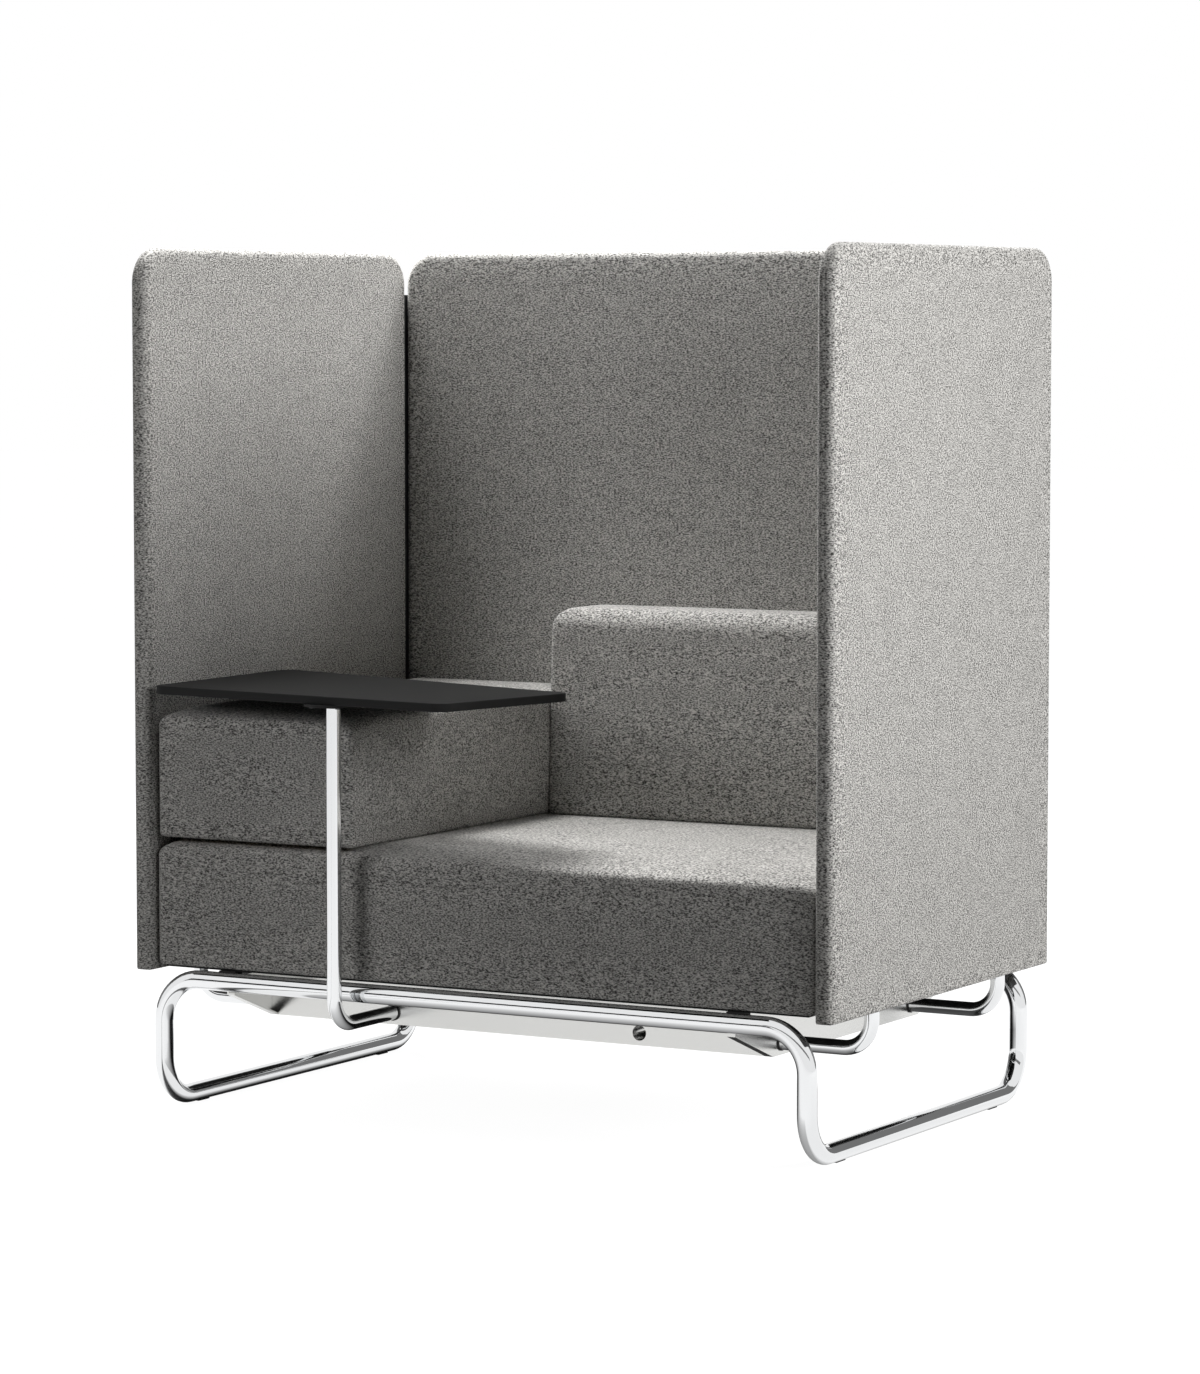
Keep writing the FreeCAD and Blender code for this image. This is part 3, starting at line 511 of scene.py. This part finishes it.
def plump(piece, held, swell):
    """Swell a cushion as cloth under pressure, held where it is sewn or rests on something."""
    rest = [vert.co.copy() for vert in piece.data.vertices]
    group = piece.vertex_groups.new(name="held")
    for vert in piece.data.vertices:
        group.add([vert.index], held(vert.co), "REPLACE")
    cloth = piece.modifiers.new("Plump", "CLOTH")
    cloth.settings.use_pressure = True
    cloth.settings.uniform_pressure_force = PLUMP_PRESSURE
    cloth.settings.effector_weights.gravity = 0
    cloth.settings.vertex_group_mass = group.name
    for step in range(1, PLUMP_STEPS + 1):
        bpy.context.scene.frame_set(step)
    activate(piece)
    bpy.ops.object.modifier_apply(modifier=cloth.name)
    bpy.context.scene.frame_set(1)
    piece.vertex_groups.clear()
    moves = [vert.co - start for vert, start in zip(piece.data.vertices, rest)]
    share = min(1.0, swell / max(move.length for move in moves))
    for vert, start, move in zip(piece.data.vertices, rest, moves):
        vert.co = start + move * share


def smooth_cushion(piece):
    """One subdivision, and smooth faces."""
    activate(piece)
    smooth = piece.modifiers.new("Smooth", "SUBSURF")
    smooth.levels = smooth.render_levels = 1
    bpy.ops.object.modifier_apply(modifier=smooth.name)
    finish_mesh(piece)


def make_cushion(name, node, corner, edge, swell, held, droops=True, shape=None):
    """One upholstered block in the place of its node."""
    low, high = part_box(node)
    cushion = soft_block(name, low, high, corner, edge, droops)
    if shape:
        for vert in cushion.data.vertices:
            vert.co = shape(vert.co)
    plump(cushion, held, swell)
    smooth_cushion(cushion)
    dress(cushion, grey_felt(), "grey_felt", node)


def sewn(point, low, high, radius):
    """1 on a cushion's edges, falling to 0 past its rounded rim."""
    gaps = sorted(min(point[axis] - low[axis], high[axis] - point[axis]) for axis in range(3))
    return 1 - min(max((gaps[1] - radius) / radius, 0), 1)


class SEAT_OT_seat_cushion(bpy.types.Operator):
    """Upholster the seat"""

    bl_idname = "seat.seat_cushion"
    bl_label = "Seat cushion"

    def execute(self, context):
        size = sizes()
        low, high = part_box("seat_cushion")
        arm_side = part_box("arm_cushion")[1].x
        back_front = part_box("back_cushion")[0].y

        def held(point):
            covered = point.x < arm_side + size.cushion_edge or point.y > back_front - size.cushion_edge
            on_board = point.z < low.z + size.cushion_hem
            beside = min(point.x - low.x, high.x - point.x, high.y - point.y) < size.cushion_hem
            if on_board or beside or (covered and point.z > high.z - size.cushion_edge):
                return 1.0
            return sewn(point, low, high, size.cushion_edge)

        make_cushion("seat_upholstery", "seat_cushion", size.cushion_corner, size.cushion_edge,
                     size.seat_swell, held)
        return {"FINISHED"}


class SEAT_OT_arm_cushion(bpy.types.Operator):
    """Upholster the broad arm"""

    bl_idname = "seat.arm_cushion"
    bl_label = "Arm cushion"

    def execute(self, context):
        size = sizes()
        low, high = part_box("arm_cushion")

        def held(point):
            on_seat = point.z < low.z + size.cushion_hem
            beside = min(point.x - low.x, high.y - point.y) < size.cushion_hem
            if on_seat or beside:
                return 1.0
            return sewn(point, low, high, size.cushion_edge)

        make_cushion("arm_upholstery", "arm_cushion", size.cushion_corner, size.cushion_edge,
                     size.arm_swell, held)
        return {"FINISHED"}


class SEAT_OT_back_cushion(bpy.types.Operator):
    """Upholster the back"""

    bl_idname = "seat.back_cushion"
    bl_label = "Back cushion"

    def execute(self, context):
        size = sizes()
        low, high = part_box("back_cushion")

        def lean(point):
            rise = (point.z - low.z) / (high.z - low.z)
            front = (high.y - point.y) / (high.y - low.y)
            return point + Vector((0, size.back_lean * rise * front, 0))

        def held(point):
            on_seat = point.z < low.z + size.cushion_hem
            beside = min(point.x - low.x, high.x - point.x, high.y - point.y) < size.cushion_hem
            if on_seat or beside:
                return 1.0
            return sewn(point, low, high, size.back_edge)

        make_cushion("back_upholstery", "back_cushion", size.back_corner, size.back_edge,
                     size.back_swell, held, False, lean)
        return {"FINISHED"}


# Bent tubes

RING = 40
BEND_STEPS = 14
TUBE_CREASE = 50


def bent_tube(name, route, radius, bend):
    """A capped tube: a ring is drawn along each run of the route and spun round each square corner."""
    points = [Vector(point) for point in route]
    ways = [(after - before).normalized() for before, after in zip(points, points[1:])]
    bpy.ops.object.select_all(action="DESELECT")
    bpy.ops.mesh.primitive_circle_add(vertices=RING, radius=radius, fill_type="NGON", location=points[0],
                                      rotation=UP.rotation_difference(ways[0]).to_euler())
    tube = settle(name)
    edit(tube)
    bpy.ops.mesh.select_all(action="SELECT")
    for index, way in enumerate(ways):
        trim = bend * ((index > 0) + (index < len(ways) - 1))
        run = (points[index + 1] - points[index]).length - trim
        bpy.ops.mesh.extrude_region_move(TRANSFORM_OT_translate={"value": way * run})
        if index < len(ways) - 1:
            turn = ways[index + 1]
            centre = points[index + 1] - way * bend + turn * bend
            bpy.ops.mesh.spin(steps=BEND_STEPS, angle=-math.pi / 2, center=centre, axis=way.cross(turn))
    leave()
    finish_mesh(tube, TUBE_CREASE)
    return tube


class SEAT_OT_frame_tubes(bpy.types.Operator):
    """Bend the chrome frame: two bows that carry the rails, and two runners on the floor"""

    bl_idname = "seat.frame_tubes"
    bl_label = "Frame tubes"

    def execute(self, context):
        chrome = bright_chrome()
        bend = sizes().frame_bend
        for node in ("front_bow", "rear_bow"):
            low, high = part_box(node)
            radius = (high.y - low.y) / 2
            y, top = (low.y + high.y) / 2, high.z - radius
            left, right = low.x + radius, high.x - radius
            route = [(left, y, low.z), (left, y, top), (right, y, top), (right, y, low.z)]
            dress(bent_tube(f"{node}_tube", route, radius, bend), chrome, "bright_chrome", node)
        for node in ("left_runner", "right_runner"):
            low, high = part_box(node)
            radius = (high.x - low.x) / 2
            x, foot = (low.x + high.x) / 2, low.z + radius
            front, rear = low.y + radius, high.y - radius
            route = [(x, front, high.z), (x, front, foot), (x, rear, foot), (x, rear, high.z)]
            dress(bent_tube(f"{node}_tube", route, radius, bend), chrome, "bright_chrome", node)
        return {"FINISHED"}


class SEAT_OT_stems(bpy.types.Operator):
    """Bend the chrome stems that carry the screens, and the tablet's post"""

    bl_idname = "seat.stems"
    bl_label = "Stems and post"

    def execute(self, context):
        chrome = bright_chrome()
        bend = sizes().stem_bend
        for node in ("left_front_stem", "left_rear_stem", "right_front_stem", "right_rear_stem"):
            low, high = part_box(node)
            radius = (high.y - low.y) / 2
            y, foot = (low.y + high.y) / 2, low.z + radius
            inner, outer = (high.x, low.x + radius) if "left" in node else (low.x, high.x - radius)
            route = [(inner, y, foot), (outer, y, foot), (outer, y, high.z)]
            dress(bent_tube(f"{node}_tube", route, radius, bend), chrome, "bright_chrome", node)
        for node in ("back_left_stem", "back_right_stem", "tablet_post"):
            low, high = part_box(node)
            radius = (high.x - low.x) / 2
            x, foot = (low.x + high.x) / 2, low.z + radius
            forward = node == "tablet_post"
            inner, outer = (high.y, low.y + radius) if forward else (low.y, high.y - radius)
            route = [(x, inner, foot), (x, outer, foot), (x, outer, high.z)]
            dress(bent_tube(f"{node}_tube", route, radius, bend), chrome, "bright_chrome", node)
        return {"FINISHED"}


class SEAT_OT_finishes(bpy.types.Operator):
    """Finish the rigid parts that keep the shape of their nodes"""

    bl_idname = "seat.finishes"
    bl_label = "Finishes of the rigid parts"

    def execute(self, context):
        by_slot = finishes()
        for part in frame["record"]["subparts"]:
            node = frame["nodes"][part["node"]]
            material = by_slot.get(part["material_slot"])
            if material and not node.hide_render:
                node.data.materials.clear()
                node.data.materials.append(material)
        return {"FINISHED"}


# Stage

FLOOR_SPAN = 60
# The floor is a little off white near the seat and full white further off, so that no line shows where it
# meets the background: distances in metres, then strengths.
PALE_REACH = (1.2, 3.5)
PALE = (0.975, 1.0)
# Painted shade on the floor under the seat, seen by mirrors alone: its blurred edge, how far it stays inside
# the left runner, and how far it fades behind and in front of the front rail, in metres
SHADE_BLUR = 0.012
SHADE_INSET = 0.15
SHADE_FADE = (0.22, 0.28)
# A line of painted shade under the left runner, seen by mirrors alone: where it starts to fade and where it
# ends
RUNNER_SHADE_FADE = (0.012, 0.03)
# How much of the white background lights the seat
AROUND = 0.02

# Soft boxes: name, place, the point that the box faces, the side of its square in metres, power in watts
LAMPS = (
    ("top_box", (-1.2, 0.5, 2.8), (-0.36, 0.15, 0.6), 0.9, 74),
    ("high_box", (-0.8, 0.2, 3.2), (-0.24, 0.06, 0.6), 0.6, 38),
    ("top_rear_box", (0.0, 1.4, 3.2), (0.0, 0.42, 0.6), 0.6, 36),
    ("side_box", (2.8, -0.6, 1.6), (0.3, 0.0, 0.8), 1.0, 36),
    ("far_box", (5.8, 0.9, 3.1), (0.3, 0.0, 0.8), 2.2, 285),
    ("front_box", (-1.2, -2.4, 1.5), (-0.2, -0.3, 0.5), 0.8, 15),
    ("rear_box", (-3.2, 3.6, 2.4), (0.0, 0.0, 0.7), 1.5, 200),
)
# Cards: name, two corners, tone, and the turn about the upright axis in degrees. Three stand behind the seat
# and one high in front of it, square to the camera. The last two paint reflections on the front rail: its
# thin line, and painted shade on its upper side.
FLAGS = (
    ("left_flag", (-9.0, 3.0, 0.02), (-1.7, 3.02, 4.6), 0.20, CAMERA_AZIMUTH),
    ("right_flag", (1.7, 3.0, 0.02), (9.0, 3.02, 4.6), 0.20, CAMERA_AZIMUTH),
    ("top_flag", (-1.7, 3.0, 2.2), (1.7, 3.02, 4.6), 0.12, CAMERA_AZIMUTH),
    ("front_flag", (-8.0, -6.0, 2.9), (8.0, -5.98, 4.0), 0.20, CAMERA_AZIMUTH),
    ("line_flag", (-6.02, -5.4, 0.5), (-6.0, -2.2, 2.0), 0.02, CAMERA_AZIMUTH),
    ("ceiling_flag", (-4.2, -1.9, 4.7), (-1.0, 2.0, 4.72), 0.0, 0.0),
)


def ray_kinds(tree):
    """1 for rays from the camera, and 1 for rays from a mirror or through glass."""
    path = add_node(tree, "ShaderNodeLightPath").outputs
    mirrored = add_node(tree, "ShaderNodeMath", {0: path["Is Glossy Ray"], 1: path["Is Transmission Ray"]},
                        operation="MAXIMUM")
    return path["Is Camera Ray"], mirrored.outputs["Value"]


def painted_floor_shade(tree, place):
    """1 where mirrors see painted shade on the floor: under the seat, and along the left runner."""
    axes = add_node(tree, "ShaderNodeSeparateXYZ", {"Vector": place}).outputs
    left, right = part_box("left_runner"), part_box("right_runner")
    left_line = (left[0].x + left[1].x) / 2
    right_line = (right[0].x + right[1].x) / 2
    left_end = -left_line - SHADE_INSET
    rear, front = right[1].y, -right[0].y
    # Painted shade under the seat, seen by mirrors: 1 inside, fading to 0 at its edges
    shade_under_seat = 1.0
    for axis, way, full, none in (("X", 1, right_line, right_line + SHADE_BLUR),
                                  ("X", -1, left_end, left_end + SHADE_BLUR),
                                  ("Y", 1, rear, rear + SHADE_BLUR),
                                  ("Y", -1, front - SHADE_FADE[0], front + SHADE_FADE[1])):
        out = add_node(tree, "ShaderNodeMath", {0: axes[axis], 1: way}, operation="MULTIPLY")
        within = add_node(tree, "ShaderNodeMapRange", {"Value": out.outputs["Value"], "From Min": full,
                                                       "From Max": none, "To Min": 1.0, "To Max": 0.0})
        shade_under_seat = add_node(tree, "ShaderNodeMath", {0: shade_under_seat, 1: within.outputs["Result"]},
                              operation="MULTIPLY").outputs["Value"]
    # Painted shade in a thin line along the left runner
    across = add_node(tree, "ShaderNodeMath", {0: axes["X"], 1: left_line}, operation="SUBTRACT")
    off_line = add_node(tree, "ShaderNodeMath", {0: across.outputs["Value"]}, operation="ABSOLUTE")
    line = add_node(tree, "ShaderNodeMapRange",
                    {"Value": off_line.outputs["Value"], "From Min": RUNNER_SHADE_FADE[0], "From Max": RUNNER_SHADE_FADE[1],
                     "To Min": 1.0, "To Max": 0.0})
    return add_node(tree, "ShaderNodeMath", {0: shade_under_seat, 1: line.outputs["Result"]},
                    operation="MAXIMUM").outputs["Value"]


def stage_floor():
    """A floor white to the camera, and to mirrors except for the painted shade under the seat. Its shadows
    are faint.
    """
    bpy.ops.object.select_all(action="DESELECT")
    bpy.ops.mesh.primitive_plane_add(size=FLOOR_SPAN)
    floor = settle("studio_floor")
    material = bpy.data.materials.new("studio_floor")
    tree = bare_tree(material)
    place = add_node(tree, "ShaderNodeTexCoord").outputs["Object"]
    away = add_node(tree, "ShaderNodeVectorMath", {0: place}, operation="LENGTH")
    pale = add_node(tree, "ShaderNodeMapRange",
                    {"Value": away.outputs["Value"], "From Min": PALE_REACH[0], "From Max": PALE_REACH[1],
                     "To Min": PALE[0], "To Max": PALE[1]})
    camera, mirrored = ray_kinds(tree)
    # Mirrors see no white where painted shade lies on the floor
    open_floor = add_node(tree, "ShaderNodeMath", {0: 1.0, 1: painted_floor_shade(tree, place)}, operation="SUBTRACT")
    beside = add_node(tree, "ShaderNodeMath", {0: mirrored, 1: open_floor.outputs["Value"]},
                      operation="MULTIPLY")
    seen = add_node(tree, "ShaderNodeMath", {0: camera, 1: beside.outputs["Value"]}, operation="MAXIMUM")
    strength = add_node(tree, "ShaderNodeMath", {0: seen.outputs["Value"], 1: pale.outputs["Result"]},
                        operation="MULTIPLY")
    ground = add_node(tree, "ShaderNodeBsdfDiffuse", {"Color": colours().floor})
    glow = add_node(tree, "ShaderNodeEmission", {"Color": WHITE, "Strength": strength.outputs["Value"]})
    both = add_node(tree, "ShaderNodeAddShader", {0: ground.outputs["BSDF"], 1: glow.outputs["Emission"]})
    add_node(tree, "ShaderNodeOutputMaterial", {"Surface": both.outputs["Shader"]})
    floor.data.materials.append(material)


def stage_world():
    """White background to the camera and to mirrors, with only a little of it as light from all round."""
    world = bpy.data.worlds.new("studio")
    bpy.context.scene.world = world
    tree = bare_tree(world)
    camera, mirrored = ray_kinds(tree)
    seen = add_node(tree, "ShaderNodeMath", {0: camera, 1: mirrored}, operation="MAXIMUM")
    light = add_node(tree, "ShaderNodeMapRange",
                     {"Value": seen.outputs["Value"], "To Min": AROUND, "To Max": 1.0})
    background = add_node(tree, "ShaderNodeBackground",
                          {"Color": WHITE, "Strength": light.outputs["Result"]})
    add_node(tree, "ShaderNodeOutputWorld", {"Surface": background.outputs["Background"]})


def add_lamp(name, place, target, side, power):
    """A square soft box that faces a point. Mirrors don't see it."""
    data = bpy.data.lights.new(name, "AREA")
    data.shape = "RECTANGLE"
    data.size = data.size_y = side
    data.energy = power
    lamp = bpy.data.objects.new(name, data)
    lamp.location = place
    lamp.rotation_euler = (Vector(target) - Vector(place)).to_track_quat("-Z", "Y").to_euler()
    lamp.visible_glossy = False
    bpy.context.scene.collection.objects.link(lamp)


def add_flag(name, low, high, tone, turn):
    """A grey card outside the view, seen by mirrors alone: it paints reflections, the tubes' outlines and
    streaks.
    """
    flag = add_block(name, Vector(low), Vector(high))
    material = bpy.data.materials.new(name)
    tree = bare_tree(material)
    grey = add_node(tree, "ShaderNodeEmission", {"Color": WHITE, "Strength": tone})
    add_node(tree, "ShaderNodeOutputMaterial", {"Surface": grey.outputs["Emission"]})
    flag.data.materials.append(material)
    for ray in ("camera", "diffuse", "transmission", "volume_scatter", "shadow"):
        setattr(flag, f"visible_{ray}", False)
    flag.data.transform(Matrix.Rotation(math.radians(turn), 4, "Z"))


def stage_camera():
    """The camera at the photograph's viewing angle."""
    data = bpy.data.cameras.new("camera")
    data.sensor_width = SENSOR
    data.lens = CAMERA_FOCUS * SENSOR / PICTURE_HEIGHT
    camera = bpy.data.objects.new("camera", data)
    camera.location = CAMERA_PLACE
    camera.rotation_euler = (math.radians(90 - CAMERA_PITCH), 0, math.radians(CAMERA_AZIMUTH))
    bpy.context.scene.collection.objects.link(camera)
    bpy.context.scene.camera = camera


class SEAT_OT_stage(bpy.types.Operator):
    """Set the floor, the light and the camera"""

    bl_idname = "seat.stage"
    bl_label = "Stage"

    def execute(self, context):
        stage_floor()
        stage_world()
        for lamp in LAMPS:
            add_lamp(*lamp)
        for flag in FLAGS:
            add_flag(*flag)
        stage_camera()
        context.scene.view_settings.view_transform = "Standard"
        return {"FINISHED"}


class SEAT_PT_panel(bpy.types.Panel):
    """The seat's pieces, sizes and colours"""

    bl_idname = "SEAT_PT_panel"
    bl_label = "Lounge Seat"
    bl_space_type = "VIEW_3D"
    bl_region_type = "UI"
    bl_category = "Lounge Seat"

    def draw(self, context):
        for maker in MAKERS:
            self.layout.operator(maker.bl_idname)
        for group in (context.scene.seat_sizes, context.scene.seat_colours):
            column = self.layout.column()
            for name in group.bl_rna.properties.keys():
                if name not in ("rna_type", "name"):
                    column.prop(group, name)


MAKERS = (
    SEAT_OT_screens,
    SEAT_OT_seat_cushion,
    SEAT_OT_arm_cushion,
    SEAT_OT_back_cushion,
    SEAT_OT_frame_tubes,
    SEAT_OT_stems,
    SEAT_OT_finishes,
    SEAT_OT_stage,
)
CLASSES = (SeatSizes, SeatColours) + MAKERS + (SEAT_PT_panel,)


def register():
    for kind in CLASSES:
        bpy.utils.register_class(kind)
    bpy.types.Scene.seat_sizes = bpy.props.PointerProperty(type=SeatSizes)
    bpy.types.Scene.seat_colours = bpy.props.PointerProperty(type=SeatColours)


def unregister():
    del bpy.types.Scene.seat_sizes
    del bpy.types.Scene.seat_colours
    for kind in reversed(CLASSES):
        bpy.utils.unregister_class(kind)


def main():
    register()
    bpy.ops.seat.screens()
    bpy.ops.seat.seat_cushion()
    bpy.ops.seat.arm_cushion()
    bpy.ops.seat.back_cushion()
    bpy.ops.seat.frame_tubes()
    bpy.ops.seat.stems()
    bpy.ops.seat.finishes()
    bpy.ops.seat.stage()


if __name__ == "__main__":
    main()
